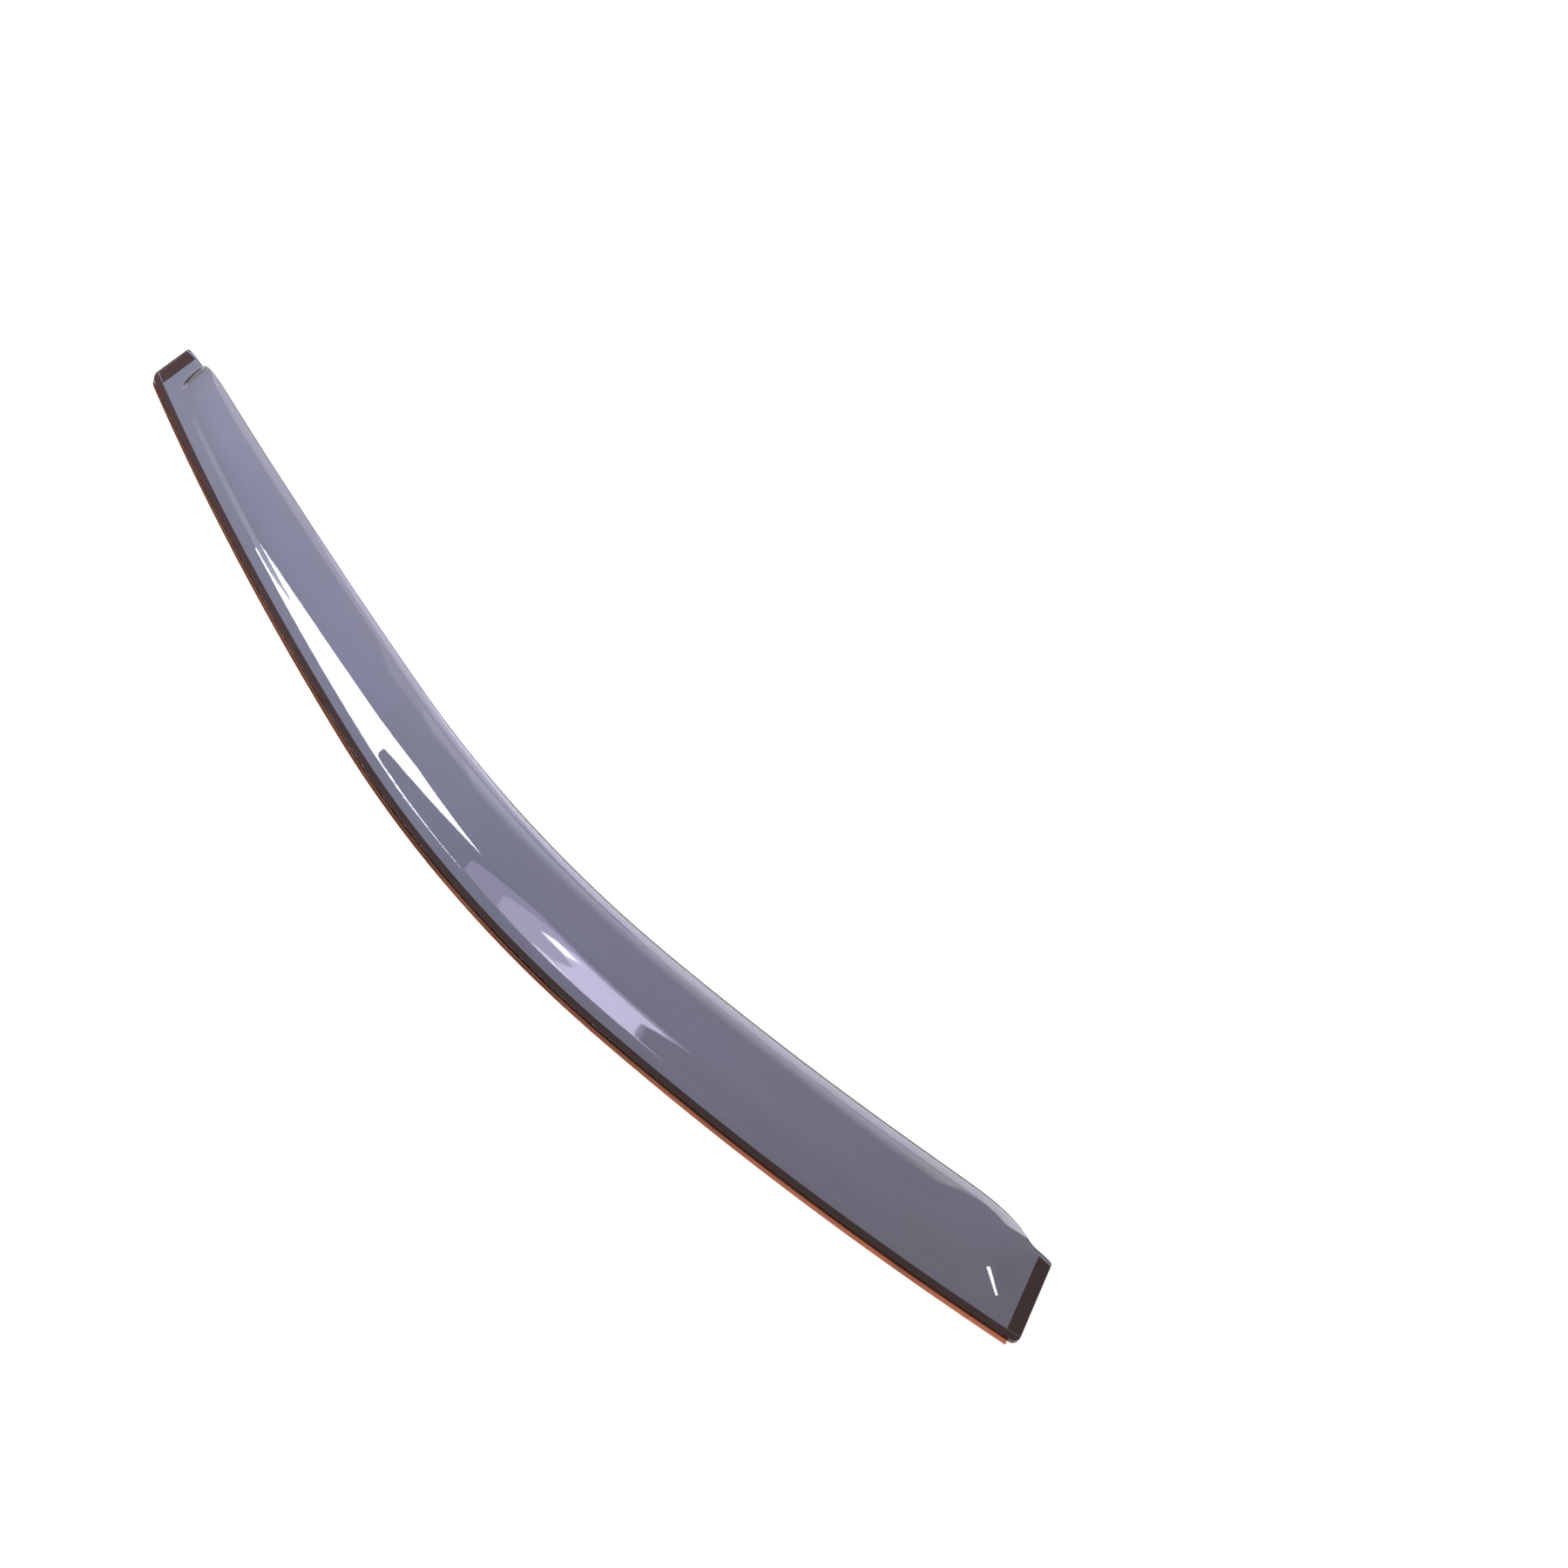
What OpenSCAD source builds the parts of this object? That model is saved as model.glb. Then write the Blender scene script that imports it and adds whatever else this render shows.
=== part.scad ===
// Stick-on rain deflector for the front side window of a right-hand car door.
// A smoke-tinted acrylic moulding stands on strips of foam tape with release liners.
// +X points to the rear of the car, +Y to the free edge, +Z out of the door.
// The origin is the middle of the bounding box, on the face that goes to the door.

/* [Tape edge] */
// Length of the front leg of the tape edge, measured along the edge
front_leg_len = 354; // [300:1:420]
// Radius of the front leg
front_leg_r = 3100; // [2000:10:6000]
// Length of the bend between the two legs
bend_len = 270; // [200:1:340]
// Radius of the bend
bend_r = 890; // [700:5:1400]
// Length of the rear leg
rear_leg_len = 305; // [240:1:380]
// Radius of the rear leg
rear_leg_r = 2130; // [1500:10:5000]

/* [Ends] */
// Angle by which the front end leans forward, going from the tape edge to the free edge
front_lean = 32.5; // [10:0.5:40]
// Angle by which the rear end leans forward, going the same way
rear_lean = 6; // [0:0.5:20]
// Distance along the tape edge over which the lean of an end dies out
lean_fade = 120; // [80:5:200]
// Corner radius at the tape edge
corner_r = 5; // [2:0.5:8]
// Corner radius at the free edge
free_corner_r = 2; // [1:0.5:4]

/* [Width] */
// Full width of the shell, across the rear half
full_w = 63.6; // [58:0.1:85]
// Width that the long taper takes off at the front end
taper_w = 25.3; // [10:0.1:30]
// Power of the long taper, which tells how early it is over
taper_power = 3.7; // [2:0.1:6]
// Width that is tucked in at the front corner of the free edge
front_tuck = 5; // [0:0.5:6]
// Length of that tuck along the shell
front_tuck_len = 23; // [15:1:60]
// Width that is tucked in at the rear corner of the free edge
rear_tuck = 7; // [0:0.5:8]
// Length of that tuck along the shell
rear_tuck_len = 28; // [15:1:60]

/* [Flange] */
// Wall thickness of the moulding
shell_t = 3; // [2:0.1:4]
// Width of the flat flange along the tape edge
flange_w = 9.4; // [8.5:0.1:14]
// Width of the flat flange across the front end
front_flange_w = 17; // [13:0.5:20]
// Width of the flat flange across the rear end
rear_flange_w = 11.5; // [11:0.5:18]

/* [Blister] */
// Rise of the blister above the flange near the front end
front_rise = 13.5; // [9:0.1:18]
// Rise of the blister above the flange over the rear half
rear_rise = 17.5; // [11:0.1:24]
// Distance from the front end at which the full rise is reached
rise_run = 560; // [400:10:800]
// Steepest slope of the wall between the flange and the blister
wall_angle = 54; // [45:1:75]
// Radius of the crease at the foot of the wall
crease_r = 3.2; // [1:0.1:6]
// Radius of the shoulder at the top of the wall
shoulder_r = 22; // [4:0.5:24]
// Softness of the corners, seen from above, where the wall turns across an end
wrap_r = 8; // [4:0.5:16]
// Length of the soft ramp at the rear end
rear_ramp = 45; // [25:1:60]
// Extra height of the crown in the middle of the blister
crown_h = 1.2; // [0:0.1:3]
// Radius by which the blister rolls down to the free edge
roll_r = 15; // [12:0.5:60]
// Width of the band that rolls down
roll_w = 9; // [6:0.5:11]

/* [Tape] */
// Thickness of the foam tape
tape_t = 1.1; // [0.6:0.1:2]
// Width of the long strip
long_tape_w = 5.2; // [4.5:0.1:7.5]
// Width of the strips across the ends
end_tape_w = 8.6; // [6:0.1:9.5]
// Distance that each strip keeps from the edge of the flange
tape_inset = 0.2; // [0.1:0.1:1]
// Seam between the long strip and a strip across an end
tape_seam = 1; // [0.5:0.1:2]
// Distance that an end strip keeps from the free edge
tape_free_inset = 1.5; // [1:0.1:4]

/* [Liner] */
// Thickness of the release liner
liner_t = 0.2; // [0.1:0.05:0.4]
// Distance by which the long liner stands out past the long strip at the front
liner_over = 1.3; // [0.5:0.1:2]
// How much further it stands out at the rear, where it was laid askew
liner_skew = 1.4; // [0:0.1:2]
// Distance by which the long liner stops short of the rear end
liner_stop = 6; // [2:0.5:12]

/* [Hidden] */

smoke = [0.36, 0.35, 0.42, 0.75];
foam = [0.16, 0.14, 0.14];
film = [0.72, 0.2, 0.12];

edge_len = front_leg_len + bend_len + rear_leg_len;
flange_z = liner_t + tape_t;
top_z = flange_z + shell_t;
step = 0.01;

// Heading of the tape edge at its front end, which sets the chord along X
raw_end = edge_place(edge_len, 0);
start_heading = -atan2(raw_end[1], raw_end[0]);

// Where a run of given length on an arc of given radius ends: x, y, heading
function arc_end(from, run, r) =
    let (a = from[2], b = a + run / r * 180 / PI)
    [from[0] + r * (sin(b) - sin(a)), from[1] - r * (cos(b) - cos(a)), b];

// Point and heading on the tape edge, and on its two legs drawn on past the ends
function edge_place(s, heading) =
    let (bend_at = front_leg_len, rear_at = front_leg_len + bend_len)
    let (a = arc_end([0, 0, heading], min(s, bend_at), front_leg_r))
    let (b = s < bend_at ? a : arc_end(a, min(s, rear_at) - bend_at, bend_r))
    s < rear_at ? b : arc_end(b, s - rear_at, rear_leg_r);

// Plan of the point at length s along the tape edge and n in from it
function plan(s, n) =
    let (p = edge_place(s, start_heading))
    [p[0] - n * sin(p[2]), p[1] + n * cos(p[2])];

// Length along the edge of a point that is d in from an end and n in from the tape edge
function front_s(d, n) = (d - n * sin(front_lean)) / cos(front_lean);
function rear_s(d, n) = edge_len - (d + n * sin(rear_lean)) / cos(rear_lean);

// A cross line starts at s on the tape edge and leans as the nearest end does
function fade(x) = pow(max(0, 1 - x / lean_fade), 2);
function lean_shift(s) = tan(front_lean) * fade(s) + tan(rear_lean) * fade(edge_len - s);
function along(s, n) = s - n * lean_shift(s);

// Distance from the nearer end of the cross line that starts at s
function end_gap(s) = min(s * cos(front_lean), (edge_len - s) * cos(rear_lean));

// What a corner of radius r takes off at distance d from the end
function corner_cut(d, r) = d < r ? r - sqrt(r * r - pow(r - d, 2)) : 0;

// Width of the shell on a cross line, before and after its corner is rounded
function full_width(s) =
    full_w - taper_w * pow(max(0, 1 - s / edge_len), taper_power)
    - front_tuck * exp(-s / front_tuck_len)
    - rear_tuck * exp(-(edge_len - s) / rear_tuck_len);
function free_n(s) = full_width(s) - corner_cut(end_gap(s), free_corner_r);
function tape_n(s) = corner_cut(end_gap(s), corner_r);

// Rise of the blister along the shell, eased in from the front end
function rise(s) =
    let (k = min(1, max(0, s / rise_run)))
    front_rise + (rear_rise - front_rise) * k * k * (3 - 2 * k);

// Wall profile: crease arc, straight slope and shoulder arc, up to height h
arcs_rise = (crease_r + shoulder_r) * (1 - cos(wall_angle));
function arc_scale(h) = min(1, h / arcs_rise);
function foot_run(h) = arc_scale(h) * crease_r * sin(wall_angle);
function slope_run(h) = max(0, h - arcs_rise) / tan(wall_angle);
function wall_run(h) =
    foot_run(h) + slope_run(h) + arc_scale(h) * shoulder_r * sin(wall_angle);
function climb(d, h) =
    let (foot = foot_run(h), top = foot + slope_run(h), end = wall_run(h))
    let (foot_r = arc_scale(h) * crease_r, head_r = arc_scale(h) * shoulder_r)
    d <= 0 ? 0
    : d < foot ? foot_r - sqrt(foot_r * foot_r - d * d)
    : d < top ? foot_r * (1 - cos(wall_angle)) + (d - foot) * tan(wall_angle)
    : d < end ? h - head_r + sqrt(head_r * head_r - pow(end - d, 2))
    : h;

// The lesser of two distances, with the corner between them softened
function wrap(a, b) =
    min(a, b) <= 0 ? 0 : 1 / norm([1 / (a + wrap_r), 1 / (b + wrap_r)]) - wrap_r;

// Distance of a point past the crease, measured so that the wall turns both corners
function past_crease(s, n) =
    let (c = along(s, n), h = rise(s))
    let (front = c * cos(front_lean) + n * sin(front_lean) - front_flange_w)
    let (rear = (edge_len - c) * cos(rear_lean) - n * sin(rear_lean) - rear_flange_w)
    wrap(wrap(n - flange_w, front), rear * wall_run(h) / rear_ramp);

// Height of the outer face: flange, wall, crowned blister and rolled free edge
function crown(s, n) =
    let (w = full_width(s) - flange_w)
    crown_h * (1 - pow(2 * (n - flange_w) / w - 1, 2));
function roll(s, n) =
    let (e = max(0, roll_w - (full_width(s) - n)))
    roll_r - sqrt(roll_r * roll_r - e * e);
function outer_z(s, n) =
    let (h = rise(s), up = climb(past_crease(s, n), h))
    top_z + up + up / h * (crown(s, n) - roll(s, n));

// Points of the outer and inner faces, one wall thickness apart along the normal
function outer_point(s, n) = let (p = plan(along(s, n), n)) [p[0], p[1], outer_z(s, n)];
function unit(v) = v / norm(v);
function normal(s, n) =
    unit(cross(outer_point(s + step, n) - outer_point(s - step, n),
               outer_point(s, n + step) - outer_point(s, n - step)));
function inner_point(s, n) = outer_point(s, n) - shell_t * normal(s, n);

// Even steps from a to b, without b
function steps(a, b, count) = [for (k = [0 : count - 1]) a + (b - a) * k / count];

// Places of the cross lines: close at the corners and ends, wide between
corner_steps = 5;
end_steps = 26;
mid_steps = 48;
front_zone = 75;
rear_zone = 90;
front_corner_s = corner_r / cos(front_lean);
rear_corner_s = corner_r / cos(rear_lean);
corner_ease = [for (k = [0 : corner_steps - 1]) 1 - cos(90 * k / corner_steps)];
cross_lines = concat(
    front_corner_s * corner_ease,
    steps(front_corner_s, front_zone, end_steps),
    steps(front_zone, edge_len - rear_zone, mid_steps),
    steps(edge_len - rear_zone, edge_len - rear_corner_s, end_steps),
    [for (k = [corner_steps : -1 : 0])
        edge_len - rear_corner_s * (1 - cos(90 * k / corner_steps))]);

// Places along a cross line: flange, foot of the wall, wall, crown and rolled band
function line_places(s) =
    let (w = free_n(s), wall_top = min(flange_w + wall_run(rise(s)), (flange_w + w) / 2))
    let (foot_end = flange_w + foot_run(rise(s)), roll_at = max(wall_top + 1, w - roll_w))
    concat(steps(tape_n(s), flange_w, 2), steps(flange_w, foot_end, 4),
           steps(foot_end, wall_top, 9), steps(wall_top, roll_at, 3),
           steps(roll_at, w, 4), [w]);

grid = [for (s = cross_lines) [for (n = line_places(s)) [s, n]]];
rows = len(grid);
cols = len(grid[0]);
function at(row, col, side) = (row * cols + col) + side * rows * cols;

// Ring of grid places round the rim, in order
rim = concat([for (r = [0 : rows - 2]) [r, 0]],
             [for (c = [0 : cols - 2]) [rows - 1, c]],
             [for (r = [rows - 1 : -1 : 1]) [r, cols - 1]],
             [for (c = [cols - 1 : -1 : 1]) [0, c]]);

shell_points = concat([for (line = grid) for (g = line) outer_point(g[0], g[1])],
                      [for (line = grid) for (g = line) inner_point(g[0], g[1])]);
cells = [for (r = [0 : rows - 2]) for (c = [0 : cols - 2]) [r, c]];
shell_faces = concat(
    [for (g = cells) [at(g[0], g[1], 0), at(g[0] + 1, g[1] + 1, 0), at(g[0] + 1, g[1], 0)]],
    [for (g = cells) [at(g[0], g[1], 0), at(g[0], g[1] + 1, 0), at(g[0] + 1, g[1] + 1, 0)]],
    [for (g = cells) [at(g[0], g[1], 1), at(g[0] + 1, g[1], 1), at(g[0] + 1, g[1] + 1, 1)]],
    [for (g = cells) [at(g[0], g[1], 1), at(g[0] + 1, g[1] + 1, 1), at(g[0], g[1] + 1, 1)]],
    [for (k = [0 : len(rim) - 1])
        let (a = rim[k], b = rim[(k + 1) % len(rim)])
        [at(a[0], a[1], 0), at(b[0], b[1], 0), at(b[0], b[1], 1)]],
    [for (k = [0 : len(rim) - 1])
        let (a = rim[k], b = rim[(k + 1) % len(rim)])
        [at(a[0], a[1], 0), at(b[0], b[1], 1), at(a[0], a[1], 1)]]);

// Outline of a strip along the tape edge, from n_out to n_in, with n_rear at its rear end
strip_steps = 60;
liner_corner_r = 0.5;
function front_corner(d, n, r) =
    [for (k = [0 : corner_steps])
        let (a = 90 * k / corner_steps, e = d + r * (1 - cos(a)), m = n + r * (1 - sin(a)))
        plan(front_s(e, m), m)];
function rear_corner(d, n, r) =
    [for (k = [corner_steps : -1 : 0])
        let (a = 90 * k / corner_steps, e = d + r * (1 - cos(a)), m = n + r * (1 - sin(a)))
        plan(rear_s(e, m), m)];
function edge_run(n_from, n_to, s_from, s_to) =
    [for (k = [1 : strip_steps - 1])
        let (part = k / strip_steps)
        plan(s_from + (s_to - s_from) * part, n_from + (n_to - n_from) * part)];
function long_strip(n_out, n_rear, n_in, front_d, rear_d, rear_r) =
    let (front_r = corner_r - tape_inset)
    concat(front_corner(front_d, n_out, front_r),
           edge_run(n_out, n_rear, front_s(front_d + front_r, n_out), rear_s(rear_d + rear_r, n_rear)),
           rear_corner(rear_d, n_rear, rear_r),
           [plan(rear_s(rear_d, n_in), n_in)],
           edge_run(n_in, n_in, rear_s(rear_d, n_in), front_s(front_d, n_in)),
           [plan(front_s(front_d, n_in), n_in)]);

// Outlines of the strips across the ends
long_inner = tape_inset + long_tape_w;
end_from = long_inner + tape_seam;
end_far = tape_inset + end_tape_w;
function front_free(d) = full_width(d / cos(front_lean)) - tape_free_inset;
function rear_free(d) = full_width(edge_len - d / cos(rear_lean)) - tape_free_inset;
front_strip = [plan(front_s(tape_inset, end_from), end_from),
               plan(front_s(end_far, end_from), end_from),
               plan(front_s(end_far, front_free(end_far)), front_free(end_far)),
               plan(front_s(tape_inset, front_free(tape_inset)), front_free(tape_inset))];
rear_strip = [plan(rear_s(tape_inset, end_from), end_from),
              plan(rear_s(tape_inset, rear_free(tape_inset)), rear_free(tape_inset)),
              plan(rear_s(end_far, rear_free(end_far)), rear_free(end_far)),
              plan(rear_s(end_far, end_from), end_from)];
tape_strip = long_strip(tape_inset, tape_inset, long_inner,
                        tape_inset, tape_inset, corner_r - tape_inset);
liner_out = tape_inset - liner_over;
liner_strip = long_strip(liner_out, liner_out - liner_skew, long_inner,
                         tape_inset, liner_stop, liner_corner_r);

// Middle of the bounding box, which becomes the origin
extent = concat(shell_points, [for (p = liner_strip) [p[0], p[1], 0]]);
mid = [for (axis = [0, 1]) let (v = [for (p = extent) p[axis]]) (min(v) + max(v)) / 2];

module visor_shell() {
    color(smoke)
        translate([-mid[0], -mid[1], 0])
            polyhedron(shell_points, shell_faces, convexity = 6);
}

module strip(outline, z, t) {
    translate([-mid[0], -mid[1], z])
        linear_extrude(t)
            polygon(outline);
}

module long_tape() {
    color(foam)
        strip(tape_strip, liner_t, tape_t);
}

module front_tape() {
    color(foam)
        strip(front_strip, liner_t, tape_t);
}

module rear_tape() {
    color(foam)
        strip(rear_strip, liner_t, tape_t);
}

module long_liner() {
    color(film)
        strip(liner_strip, 0, liner_t);
}

module front_liner() {
    color(film)
        strip(front_strip, 0, liner_t);
}

module rear_liner() {
    color(film)
        strip(rear_strip, 0, liner_t);
}

visor_shell();
long_tape();
front_tape();
rear_tape();
long_liner();
front_liner();
rear_liner();
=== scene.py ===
import math

import bpy
import numpy as np
from mathutils import Matrix, Vector


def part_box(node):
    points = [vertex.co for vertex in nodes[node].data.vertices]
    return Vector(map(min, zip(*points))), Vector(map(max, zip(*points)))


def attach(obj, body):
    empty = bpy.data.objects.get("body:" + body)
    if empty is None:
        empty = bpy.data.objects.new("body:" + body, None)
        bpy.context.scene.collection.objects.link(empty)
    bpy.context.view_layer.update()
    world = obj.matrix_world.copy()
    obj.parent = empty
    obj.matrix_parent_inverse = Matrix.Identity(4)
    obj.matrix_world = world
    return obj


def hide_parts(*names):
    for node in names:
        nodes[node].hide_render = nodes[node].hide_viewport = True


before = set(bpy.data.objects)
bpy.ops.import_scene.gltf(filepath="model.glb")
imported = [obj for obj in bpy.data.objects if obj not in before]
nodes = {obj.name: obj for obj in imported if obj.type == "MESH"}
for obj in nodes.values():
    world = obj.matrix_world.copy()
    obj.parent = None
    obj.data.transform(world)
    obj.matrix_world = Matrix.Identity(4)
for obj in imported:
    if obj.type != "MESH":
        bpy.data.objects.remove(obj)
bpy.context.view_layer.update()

# Sizes of the moulding in mm, the same as in the part's source
FRONT_LEG_LEN, FRONT_LEG_R = 354.0, 3100.0
BEND_LEN, BEND_R = 270.0, 890.0
REAR_LEG_LEN, REAR_LEG_R = 305.0, 2130.0
FRONT_LEAN, REAR_LEAN = math.radians(32.5), math.radians(6.0)
LEAN_FADE = 120.0
CORNER_R, FREE_CORNER_R = 5.0, 2.0
FULL_W, TAPER_W, TAPER_POWER = 63.6, 25.3, 3.7
FRONT_TUCK, FRONT_TUCK_LEN = 5.0, 23.0
REAR_TUCK, REAR_TUCK_LEN = 7.0, 28.0
SHELL_T = 3.0
FLANGE_W, FRONT_FLANGE_W, REAR_FLANGE_W = 9.4, 17.0, 11.5
FRONT_RISE, REAR_RISE, RISE_RUN = 13.5, 17.5, 560.0
WALL_ANGLE = math.radians(54.0)
CREASE_R, SHOULDER_R, WRAP_R = 3.2, 22.0, 8.0
REAR_RAMP = 45.0
CROWN_H = 1.2
ROLL_R, ROLL_W = 15.0, 9.0
FLANGE_Z = 1.3
TOP_Z = FLANGE_Z + SHELL_T
EDGE_LEN = FRONT_LEG_LEN + BEND_LEN + REAR_LEG_LEN

# Rounding of the cut edges and of the polished free edge, and the length over which
# one goes over into the other at the ends
EDGE_ROUND, FREE_ROUND, FREE_FADE = 0.15, 0.6, 12.0
# The shell is a little thinner than in the part's source, for air over the tape
TAPE_AIR = 0.03
VISUAL_T = SHELL_T - TAPE_AIR

# The mesh: rows at the corners, near the ends and between, the lengths that count as
# near the ends, and the angles round a rim in degrees
CORNER_ROWS, END_ROWS, MIDDLE_ROWS = 9, 60, 230
NEAR_FRONT, NEAR_REAR = 90.0, 110.0
RIM_ANGLES = (18, 36, 54, 72, 90)
MM = 0.001


def arc_end(x, y, heading, run, radius):
    """Where a run on an arc ends: x, y and heading."""
    turned = heading + run / radius
    return (
        x + radius * (np.sin(turned) - np.sin(heading)),
        y - radius * (np.cos(turned) - np.cos(heading)),
        turned,
    )


def edge_place(s, heading):
    """Point and heading on the tape edge at length s along it."""
    s = np.asarray(s, float)
    rear_at = FRONT_LEG_LEN + BEND_LEN
    a = arc_end(0.0, 0.0, heading, np.minimum(s, FRONT_LEG_LEN), FRONT_LEG_R)
    in_bend = np.clip(s, FRONT_LEG_LEN, rear_at) - FRONT_LEG_LEN
    b = arc_end(*a, in_bend, BEND_R)
    return arc_end(*b, np.maximum(s, rear_at) - rear_at, REAR_LEG_R)


raw_end = edge_place(EDGE_LEN, 0.0)
START_HEADING = -math.atan2(float(raw_end[1]), float(raw_end[0]))


def plan(s, n):
    """Place in plan at length s along the tape edge and n across from it."""
    x, y, heading = edge_place(s, START_HEADING)
    return x - n * np.sin(heading), y + n * np.cos(heading)


def fade(x):
    """Share of an end's lean that is left at length x from that end."""
    return np.maximum(0, 1 - x / LEAN_FADE) ** 2


def along(s, n):
    """Length along the edge, shifted so that the rows follow the leaning ends."""
    lean = math.tan(FRONT_LEAN) * fade(s) + math.tan(REAR_LEAN) * fade(EDGE_LEN - s)
    return s - n * lean


def end_gap(s):
    """Distance from the line of the nearer end."""
    return np.minimum(s * math.cos(FRONT_LEAN), (EDGE_LEN - s) * math.cos(REAR_LEAN))


def corner_cut(d, r):
    """How far a corner of radius r cuts in at distance d from the end."""
    return np.where(d < r, r - np.sqrt(np.maximum(0, r * r - (r - d) ** 2)), 0.0)


def full_width(s):
    """Width from the tape edge to the free edge."""
    return (
        FULL_W
        - TAPER_W * np.maximum(0, 1 - s / EDGE_LEN) ** TAPER_POWER
        - FRONT_TUCK * np.exp(-s / FRONT_TUCK_LEN)
        - REAR_TUCK * np.exp(-(EDGE_LEN - s) / REAR_TUCK_LEN)
    )


def rise(s):
    """Height of the blister over the flange."""
    k = np.clip(s / RISE_RUN, 0, 1)
    return FRONT_RISE + (REAR_RISE - FRONT_RISE) * k * k * (3 - 2 * k)


FOOT_RUN = CREASE_R * math.sin(WALL_ANGLE)
HEAD_RUN = SHOULDER_R * math.sin(WALL_ANGLE)
ARCS_RISE = (CREASE_R + SHOULDER_R) * (1 - math.cos(WALL_ANGLE))


def wall_run(h):
    """How far the wall of a blister of height h reaches across."""
    slope = np.maximum(0, h - ARCS_RISE) / math.tan(WALL_ANGLE)
    return FOOT_RUN + slope + HEAD_RUN


def climb(d, h):
    """Height of the wall at distance d past the crease, up to h."""
    top = wall_run(h) - HEAD_RUN
    foot = CREASE_R - np.sqrt(np.maximum(0, CREASE_R**2 - np.clip(d, 0, FOOT_RUN) ** 2))
    slope = CREASE_R * (1 - math.cos(WALL_ANGLE)) + (d - FOOT_RUN) * math.tan(WALL_ANGLE)
    left = np.clip(wall_run(h) - d, 0, HEAD_RUN)
    head = h - SHOULDER_R + np.sqrt(SHOULDER_R**2 - left**2)
    return np.where(d < FOOT_RUN, foot, np.where(d < top, slope, head))


def wrap(a, b):
    """The lesser of two distances, with the corner between them softened."""
    p, q = np.maximum(a, 0) + WRAP_R, np.maximum(b, 0) + WRAP_R
    soft = 1 / np.hypot(1 / p, 1 / q) - WRAP_R
    return np.where(np.minimum(a, b) <= 0, 0, soft)


def outer_z(s, n):
    """Height of the outer face: flange, wall, crowned face and rolled free edge."""
    c, h = along(s, n), rise(s)
    front = c * math.cos(FRONT_LEAN) + n * math.sin(FRONT_LEAN) - FRONT_FLANGE_W
    rear = (EDGE_LEN - c) * math.cos(REAR_LEAN) - n * math.sin(REAR_LEAN) - REAR_FLANGE_W
    past = wrap(wrap(n - FLANGE_W, front), rear * wall_run(h) / REAR_RAMP)
    up = climb(past, h)
    w = full_width(s) - FLANGE_W
    crown = CROWN_H * (1 - (2 * (n - FLANGE_W) / w - 1) ** 2)
    e = np.maximum(0, ROLL_W - (full_width(s) - n))
    roll = ROLL_R - np.sqrt(ROLL_R**2 - e**2)
    return TOP_Z + up + up / h * (crown - roll)


def outer_point(s, n):
    x, y = plan(along(s, n), n)
    return np.stack([x, y, outer_z(s, n)], axis=-1)


def outer_normal(s, n, step=0.01):
    v = np.cross(
        outer_point(s + step, n) - outer_point(s - step, n),
        outer_point(s, n + step) - outer_point(s, n - step),
    )
    return v / np.linalg.norm(v, axis=-1, keepdims=True)


def eased(a, b, count):
    """Values from a to b, closer together near a."""
    return a + (b - a) * (1 - np.cos(np.pi / 2 * np.linspace(0, 1, count)))


def rows_along():
    """Lengths along the edge where the mesh has a row, closer together near the ends."""
    first = EDGE_ROUND / math.cos(FRONT_LEAN)
    last = EDGE_LEN - EDGE_ROUND / math.cos(REAR_LEAN)
    front_corner = first + (CORNER_R - EDGE_ROUND) / math.cos(FRONT_LEAN)
    rear_corner = last - (CORNER_R - EDGE_ROUND) / math.cos(REAR_LEAN)
    front_end, rear_end = NEAR_FRONT, EDGE_LEN - NEAR_REAR
    return np.concatenate(
        [
            eased(first, front_corner, CORNER_ROWS)[:-1],
            np.linspace(front_corner, front_end, END_ROWS)[:-1],
            np.linspace(front_end, rear_end, MIDDLE_ROWS)[:-1],
            np.linspace(rear_end, rear_corner, END_ROWS)[:-1],
            eased(last, rear_corner, CORNER_ROWS)[::-1],
        ]
    )


def points_across(s):
    """Places across of each row's points, and the free edge's rounding at each row."""
    gap = end_gap(s) - EDGE_ROUND
    low = EDGE_ROUND + corner_cut(gap, CORNER_R - EDGE_ROUND)
    ease = np.clip((gap - FREE_CORNER_R) / FREE_FADE, 0, 1)
    free_round = EDGE_ROUND + (FREE_ROUND - EDGE_ROUND) * ease * ease * (3 - 2 * ease)
    high = full_width(s) - free_round - corner_cut(gap, FREE_CORNER_R - EDGE_ROUND)
    wall_top = np.minimum(FLANGE_W + wall_run(rise(s)), (FLANGE_W + high) / 2)
    # at least 1 mm of face stays between the wall and the roll
    roll_at = np.maximum(wall_top + 1, high - ROLL_W)
    flange, foot_end = FLANGE_W + 0 * s, FLANGE_W + FOOT_RUN + 0 * s
    # where each stretch begins and ends, and its number of steps
    stretches = [
        (low, flange, 6),
        (flange, foot_end, 12),
        (foot_end, wall_top, 26),
        (wall_top, roll_at, 9),
        (roll_at, high, 12),
    ]
    places = [a[:, None] + (b - a)[:, None] * np.arange(k) / k for a, b, k in stretches]
    return np.concatenate(places + [high[:, None]], axis=1), free_round


def rim_rings(line, up, radius):
    """Points and normals of the rings that round the rim, from the outer face to the inner."""
    tangent = np.roll(line, -1, axis=0) - np.roll(line, 1, axis=0)
    tangent /= np.linalg.norm(tangent, axis=1, keepdims=True)
    out = np.cross(tangent, up)
    out /= np.linalg.norm(out, axis=1, keepdims=True)
    points, normals = [], []
    for face, depth, angles in ((1, 0, RIM_ANGLES), (-1, VISUAL_T, RIM_ANGLES[::-1])):
        for angle in np.radians(angles):
            down = depth + face * radius * (1 - math.cos(angle))
            points.append(line + radius * out * math.sin(angle) - up * down)
            normals.append(face * up * math.cos(angle) + out * math.sin(angle))
    return points, normals


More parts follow.
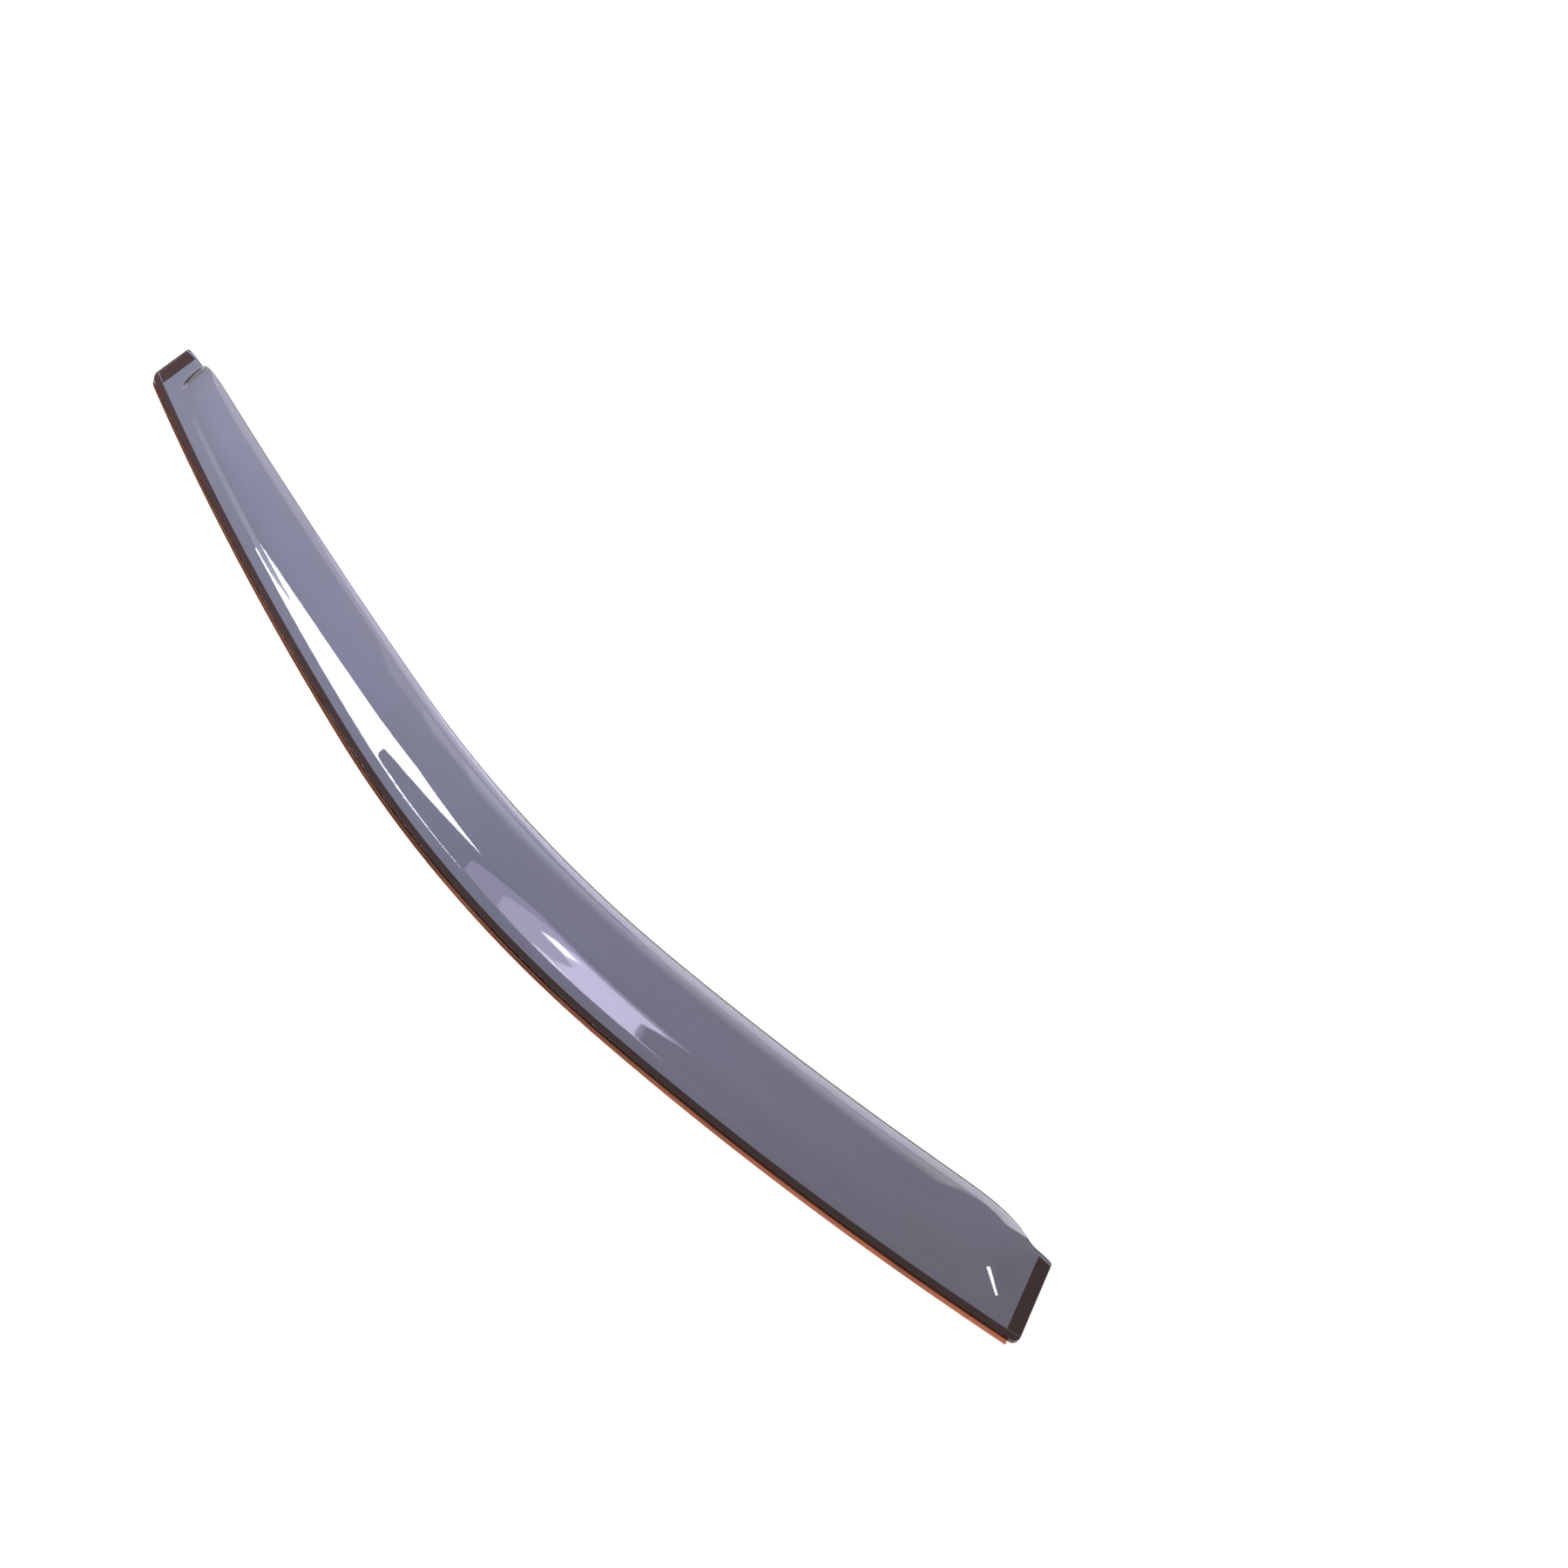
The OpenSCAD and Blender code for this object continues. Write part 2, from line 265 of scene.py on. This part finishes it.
def shell_mesh():
    """The moulding as one closed mesh in metres, with its exact normals."""
    s = rows_along()
    n, free_round = points_across(s)
    rows, cols = n.shape
    s = np.repeat(s[:, None], cols, axis=1)
    outer = outer_point(s, n).reshape(-1, 3)
    up = outer_normal(s, n).reshape(-1, 3)
    inner = outer - VISUAL_T * up
    index = np.arange(rows * cols).reshape(rows, cols)
    ring = np.concatenate(
        [index[:-1, 0], index[-1, :-1], index[:0:-1, -1], index[0, :0:-1]]
    )
    radius = np.full((rows, cols), EDGE_ROUND)
    radius[:, -1] = free_round
    rim, rim_normals = rim_rings(outer[ring], up[ring], radius.reshape(-1, 1)[ring])
    points = np.concatenate([outer, inner] + rim) * MM
    normals = np.concatenate([up, -up] + rim_normals)
    count, size = len(outer), len(ring)
    a, b = index[:-1, :-1].ravel(), index[1:, :-1].ravel()
    c, d = index[1:, 1:].ravel(), index[:-1, 1:].ravel()
    faces = [np.stack([a, b, c, d], axis=1), np.stack([d, c, b, a], axis=1) + count]
    loops = [2 * count + k * size + np.arange(size) for k in range(len(rim))]
    for one, two in zip([ring] + loops, loops + [ring + count]):
        faces.append(
            np.stack([one, two, np.roll(two, -1), np.roll(one, -1)], axis=1)
        )
    return points, normals, np.concatenate(faces)


def mesh_object(name, points, faces, normals=None):
    mesh = bpy.data.meshes.new(name)
    mesh.from_pydata(points.tolist(), [], faces.tolist())
    mesh.polygons.foreach_set("use_smooth", np.ones(len(faces), bool))
    if normals is not None:
        mesh.normals_split_custom_set_from_vertices(normals.tolist())
    mesh.update()
    ob = bpy.data.objects.new(name, mesh)
    bpy.context.scene.collection.objects.link(ob)
    return ob


points, normals, faces = shell_mesh()
# The CAD shell's box says where the middle of the row frame lies
cad_low, cad_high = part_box("visor_shell")
for k in (0, 1):
    own_middle = (points[:, k].min() + points[:, k].max()) / 2
    points[:, k] += (cad_low[k] + cad_high[k]) / 2 - own_middle
shell = mesh_object("acrylic_shell", points, faces, normals)
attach(shell, "root")
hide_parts("visor_shell")


class Nodes:
    """A material's node tree, with short calls to add to it."""

    def __init__(self, name):
        self.mat = bpy.data.materials.new(name)
        self.mat.use_nodes = True
        self.tree = self.mat.node_tree
        self.tree.nodes.clear()
        self.out = self.add("ShaderNodeOutputMaterial")
        self.coord = self.add("ShaderNodeTexCoord")

    def add(self, kind, **values):
        node = self.tree.nodes.new(kind)
        for key, value in values.items():
            setattr(node, key, value)
        return node

    def place(self, axis):
        """One coordinate of the point in the piece's own frame, in metres."""
        split = self.add("ShaderNodeSeparateXYZ")
        self.link(self.coord.outputs["Object"], split.inputs["Vector"])
        return split.outputs[axis]

    def link(self, a, b):
        self.tree.links.new(a, b)

    def noise(self, scale, detail=3.0, rough=0.5, stretch=(1, 1, 1)):
        mapping = self.add("ShaderNodeMapping")
        mapping.inputs["Scale"].default_value = stretch
        self.link(self.coord.outputs["Object"], mapping.inputs["Vector"])
        tex = self.add("ShaderNodeTexNoise")
        tex.inputs["Scale"].default_value = scale
        tex.inputs["Detail"].default_value = detail
        tex.inputs["Roughness"].default_value = rough
        self.link(mapping.outputs["Vector"], tex.inputs["Vector"])
        return tex.outputs["Fac"]

    def remap(self, value, low, high, to_low, to_high):
        node = self.add("ShaderNodeMapRange")
        node.inputs["From Min"].default_value = low
        node.inputs["From Max"].default_value = high
        node.inputs["To Min"].default_value = to_low
        node.inputs["To Max"].default_value = to_high
        self.link(value, node.inputs["Value"])
        return node.outputs["Result"]

    def spread(self, noise, to_low, to_high):
        """Spreads a noise, most of which lies between 0.3 and 0.7, from to_low to to_high."""
        return self.remap(noise, 0.3, 0.7, to_low, to_high)

    def ramp(self, value, stops):
        node = self.add("ShaderNodeValToRGB")
        while len(node.color_ramp.elements) < len(stops):
            node.color_ramp.elements.new(0.5)
        for element, (place, colour) in zip(node.color_ramp.elements, stops):
            element.position = place
            element.color = (*colour, 1)
        self.link(value, node.inputs["Fac"])
        return node.outputs["Color"]

    def maths(self, operation, a, b):
        node = self.add("ShaderNodeMath", operation=operation)
        for socket, value in zip(node.inputs, (a, b)):
            if isinstance(value, (int, float)):
                socket.default_value = value
            else:
                self.link(value, socket)
        return node.outputs[0]

    def bump(self, height, strength, distance, before=None):
        node = self.add("ShaderNodeBump")
        node.inputs["Strength"].default_value = strength
        node.inputs["Distance"].default_value = distance
        self.link(height, node.inputs["Height"])
        if before is not None:
            self.link(before, node.inputs["Normal"])
        return node.outputs["Normal"]

    def principled(self, **values):
        node = self.add("ShaderNodeBsdfPrincipled")
        for key, value in values.items():
            socket = node.inputs[key.replace("_", " ")]
            if isinstance(value, (int, float, tuple)):
                socket.default_value = value
            else:
                self.link(value, socket)
        self.link(node.outputs["BSDF"], self.out.inputs["Surface"])
        return node


def acrylic():
    """Clear smoke acrylic: tint by depth, painted shade that darkens it towards the rear, a
    faint waviness and fine handling marks.
    """
    m = Nodes("smoke_acrylic")
    # the acrylic's own tint plus painted shade: clearest at the front and darkest at the rear,
    # standing in for reflections that are brighter at the front
    front_x, rear_x = -0.42, 0.4
    rearward_for_painted_shade = m.remap(m.place("X"), front_x, rear_x, 0, 1)
    cloud = m.spread(m.noise(9.0, stretch=(1, 2.5, 2.5)), -0.06, 0.06)
    tint_and_painted_shade = m.ramp(
        m.maths("ADD", rearward_for_painted_shade, cloud),
        [
            (0, (0.93, 0.985, 1)),
            (0.3, (0.78, 0.81, 0.86)),
            (0.6, (0.577, 0.605, 0.665)),
            (1, (0.45, 0.443, 0.46)),
        ],
    )
    haze = m.noise(28.0, detail=4.0, rough=0.6)
    marks = m.noise(420.0, detail=6.0, rough=0.7, stretch=(0.25, 1, 1))
    rough = m.maths("ADD", m.spread(haze, 0.01, 0.03), m.remap(marks, 0.45, 0.8, 0, 0.03))
    swell = m.noise(14.0, detail=1.0, rough=0.4, stretch=(1, 2, 1))
    wave = m.bump(swell, strength=0.06, distance=0.0006)
    skin = m.bump(marks, strength=0.001, distance=0.0001, before=wave)
    m.principled(
        Base_Color=tint_and_painted_shade, Roughness=rough, IOR=1.49, Transmission_Weight=1.0, Normal=skin
    )
    inside = m.add("ShaderNodeVolumeAbsorption")
    inside.inputs["Color"].default_value = (0.08, 0.10, 0.31, 1)
    inside.inputs["Density"].default_value = 460.0
    m.link(inside.outputs["Volume"], m.out.inputs["Volume"])
    return m.mat


def foam():
    """Closed-cell foam tape: dark brown, matt, with fine pores, and painted light on its glued
    face.
    """
    m = Nodes("foam_tape")
    cells = m.noise(900.0, detail=4.0, rough=0.65)
    patch = m.noise(60.0)
    # painted light: the glued face under the shell is made redder and paler than the cut
    # sides, to make up for the shade that the shell casts on it, with the change between these
    # depths below it
    low, high = (FLANGE_Z - 0.06) * MM, (FLANGE_Z - 0.01) * MM
    glued_face_painted_light = m.remap(m.place("Z"), low, high, 0, 0.5)
    grain = m.maths("ADD", m.maths("MULTIPLY", cells, 0.3), m.maths("MULTIPLY", patch, 0.2))
    colour = m.ramp(
        m.maths("ADD", glued_face_painted_light, grain),
        [
            (0.15, (0.09, 0.034, 0.02)),
            (0.35, (0.15, 0.056, 0.034)),
            (0.65, (0.57, 0.16, 0.105)),
            (0.85, (0.82, 0.23, 0.15)),
        ],
    )
    pores = m.bump(cells, strength=0.5, distance=0.0003)
    m.principled(Base_Color=colour, Roughness=m.spread(cells, 0.78, 0.95), Normal=pores)
    return m.mat


def liner():
    """Red release film: satin, faintly wrinkled along its length, with painted shade that
    makes it dark at the front and paler and redder at the rear.
    """
    m = Nodes("release_film")
    fold = m.noise(24.0, stretch=(0.5, 2.5, 1))
    grain = m.noise(600.0, rough=0.6)
    # painted shade and light: the film is dark at the front, where the front lamp lights it
    # most, and paler and redder towards the rear
    front_x, rear_x = -0.42, 0.42
    rearward_for_painted_shade = m.remap(m.place("X"), front_x, rear_x, 0, 1)
    colour = m.ramp(
        m.maths("ADD", rearward_for_painted_shade, m.spread(fold, -0.1, 0.1)),
        [(0, (0.055, 0.019, 0.008)), (0.5, (0.085, 0.036, 0.02)), (1, (0.42, 0.18, 0.1))],
    )
    fine = m.bump(grain, strength=0.1, distance=0.00005)
    wrinkles = m.bump(fold, strength=0.25, distance=0.0006, before=fine)
    m.principled(
        Base_Color=colour,
        Roughness=m.spread(grain, 0.6, 0.78),
        Specular_IOR_Level=0.0,
        Normal=wrinkles,
    )
    return m.mat


def dress(ob, mat):
    ob.data.materials.clear()
    ob.data.materials.append(mat)


dress(shell, acrylic())
foam_mat, liner_mat = foam(), liner()
for name in ("long_tape", "front_tape", "rear_tape"):
    dress(nodes[name], foam_mat)
for name in ("long_liner", "front_liner", "rear_liner"):
    dress(nodes[name], liner_mat)


def seen_white(m, shader, strength):
    """Adds plain white to a shader where the camera, gloss or clear plastic sees it."""
    path = m.add("ShaderNodeLightPath")
    seen = m.maths("MAXIMUM", path.outputs["Is Camera Ray"], path.outputs["Is Glossy Ray"])
    seen = m.maths("MAXIMUM", seen, path.outputs["Is Transmission Ray"])
    glow = m.add("ShaderNodeEmission")
    glow.inputs["Color"].default_value = (1, 1, 1, 1)
    m.link(m.maths("MULTIPLY", seen, strength), glow.inputs["Strength"])
    total = m.add("ShaderNodeAddShader")
    m.link(shader, total.inputs[0])
    m.link(glow.outputs["Emission"], total.inputs[1])
    m.link(total.outputs["Shader"], m.out.inputs["Surface"])


def pale_floor():
    """Matt floor that lies in white light."""
    m = Nodes("pale_floor")
    pale = m.principled(
        Base_Color=(0.25, 0.25, 0.25, 1), Roughness=0.9, Specular_IOR_Level=0.0
    )
    seen_white(m, pale.outputs["BSDF"], 0.86)
    return m.mat


FLOOR_HALF = 6.0
corners = [(-1, -1, 0), (1, -1, 0), (1, 1, 0), (-1, 1, 0)]
floor = mesh_object("floor", np.array(corners) * FLOOR_HALF, np.array([[0, 1, 2, 3]]))
dress(floor, pale_floor())


def studio_world():
    """Warm light from all round, which the camera and clear plastic see as plain white."""
    world = bpy.data.worlds.new("studio")
    world.use_nodes = True
    tree = world.node_tree
    warm = tree.nodes["Background"]
    warm.inputs["Color"].default_value = (1, 0.74, 0.64, 1)
    warm.inputs["Strength"].default_value = 1.02
    white = tree.nodes.new("ShaderNodeBackground")
    white.inputs["Color"].default_value = (1, 1, 1, 1)
    path = tree.nodes.new("ShaderNodeLightPath")
    seen = tree.nodes.new("ShaderNodeMath")
    seen.operation = "MAXIMUM"
    tree.links.new(path.outputs["Is Camera Ray"], seen.inputs[0])
    tree.links.new(path.outputs["Is Transmission Ray"], seen.inputs[1])
    either = tree.nodes.new("ShaderNodeMixShader")
    for source, socket in zip((seen, warm, white), either.inputs):
        tree.links.new(source.outputs[0], socket)
    tree.links.new(either.outputs[0], tree.nodes["World Output"].inputs["Surface"])
    return world


bpy.context.scene.world = studio_world()


def lamp(name, place, facing, long_side, size, radiance, colour=(1, 1, 1)):
    """A rectangular lamp with its middle at place, shining along facing. The first of
    its two sizes lies along long_side, and its radiance is in watts per m2 and steradian."""
    light = bpy.data.lights.new(name, "AREA")
    light.shape = "RECTANGLE"
    light.size, light.size_y = size
    light.energy = radiance * math.pi * size[0] * size[1]
    light.color = colour
    back = -Vector(facing).normalized()
    across = Vector(long_side)
    across = (across - back * across.dot(back)).normalized()
    ob = bpy.data.objects.new(name, light)
    ob.matrix_world = Matrix((across, back.cross(across), back)).transposed().to_4x4()
    ob.location = place
    ob.visible_camera = False
    bpy.context.scene.collection.objects.link(ob)


# Each lamp lies where its mirror image in the shell falls on a highlight of the photo
COOL = (0.93, 0.94, 1.0)

lamp(
    "front_lamp",
    place=(-0.434, -0.359, 0.116),
    facing=(0.083, 0.989, -0.123),
    long_side=(0.593, 0.05, 0.803),
    size=(0.572, 0.27),
    radiance=20,
)

# A tall panel beside it. Its panes add up, so it is brighter towards its middle.
PANEL_MIDDLE = Vector((-0.186, -1.393, 0.534))
PANEL_FACING = Vector((0.723, 0.69, -0.044))
PANEL_ACROSS = Vector((0.689, -0.724, -0.035))
PANEL_UP = Vector((0.056, 0.005, 0.998))
PANE_STEP = 0.005
# how far across and up each pane lies, its height and width, its radiance and colour
panes = [
    (-0.005, 0.035, (1.13, 0.75), 2.6, (0.8, 0.7, 1)),
    (0.05, -0.065, (0.93, 0.6), 3, (0.8, 0.7, 1)),
    (0.12, -0.04, (0.64, 0.44), 5.6, (0.78, 0.78, 1)),
    (-0.06, -0.14, (0.34, 0.12), 14, (0.85, 0.9, 1)),
]
for k, (across, up, size, radiance, colour) in enumerate(panes):
    place = PANEL_MIDDLE + across * PANEL_ACROSS + up * PANEL_UP + k * PANE_STEP * PANEL_FACING
    lamp(f"side_pane_{k + 1}", place, PANEL_FACING, PANEL_UP, size, radiance, colour)

# A wide soft panel in three parts behind, for the light band along the free edge
BACK_FACING, BACK_ACROSS = (0.342, -0.94, 0), (0.94, 0.342, 0)
for name, place, size, radiance in (
    ("back_left", (-1.912, 1.964, 1.1), (0.95, 2.2), 1.6),
    ("back_middle", (-1.325, 2.178, 1.1), (0.3, 2.2), 3),
    ("back_right", (0.435, 2.819, 1.35), (3.44, 2.7), 5.3),
):
    lamp(name, place, BACK_FACING, BACK_ACROSS, size, radiance, COOL)

# Three slanted panes above it, 1 cm apart so that they add up, soften that band
BACK_SLANT, BACK_TOP_RADIANCE = (0.903, 0.328, 0.279), 1.05
for name, place, size in (
    ("back_top_1", (-0.999, 2.297, 3.093), (2.55, 0.643)),
    ("back_top_2", (-0.925, 2.314, 3.155), (2.4, 0.72)),
    ("back_top_3", (-0.851, 2.33, 3.226), (2.24, 0.816)),
):
    lamp(name, place, BACK_FACING, BACK_SLANT, size, BACK_TOP_RADIANCE, COOL)

# A thin lamp for the bright spot near the rear corner
lamp(
    "spot_lamp",
    place=(1.685, 0.151, 1.569),
    facing=(-0.624, -0.059, -0.779),
    long_side=(-0.18, -0.959, 0.217),
    size=(0.34, 0.09),
    radiance=24,
)

# The photograph's camera, worked out from the outlines of the mirrored pairs
ROLL = math.radians(17.67)
side = Vector((0.8222, 0.5691, 0.0))
upward = Vector((-0.4460, 0.6444, 0.6211))
ahead = Vector((-0.3535, 0.5107, -0.7837))
right = side * math.cos(ROLL) + upward * math.sin(ROLL)
top = upward * math.cos(ROLL) - side * math.sin(ROLL)
view = Matrix((right, top, -ahead)).transposed().to_4x4()
view.translation = Vector((0.5819, -0.5511, 1.1023))
camera = bpy.data.objects.new("camera", bpy.data.cameras.new("camera"))
camera.data.sensor_width = 36.0
camera.data.lens = 48.0
camera.data.clip_start, camera.data.clip_end = 0.01, 50.0
camera.matrix_world = view
bpy.context.scene.collection.objects.link(camera)
bpy.context.scene.camera = camera
bpy.context.scene.view_settings.view_transform = "Standard"
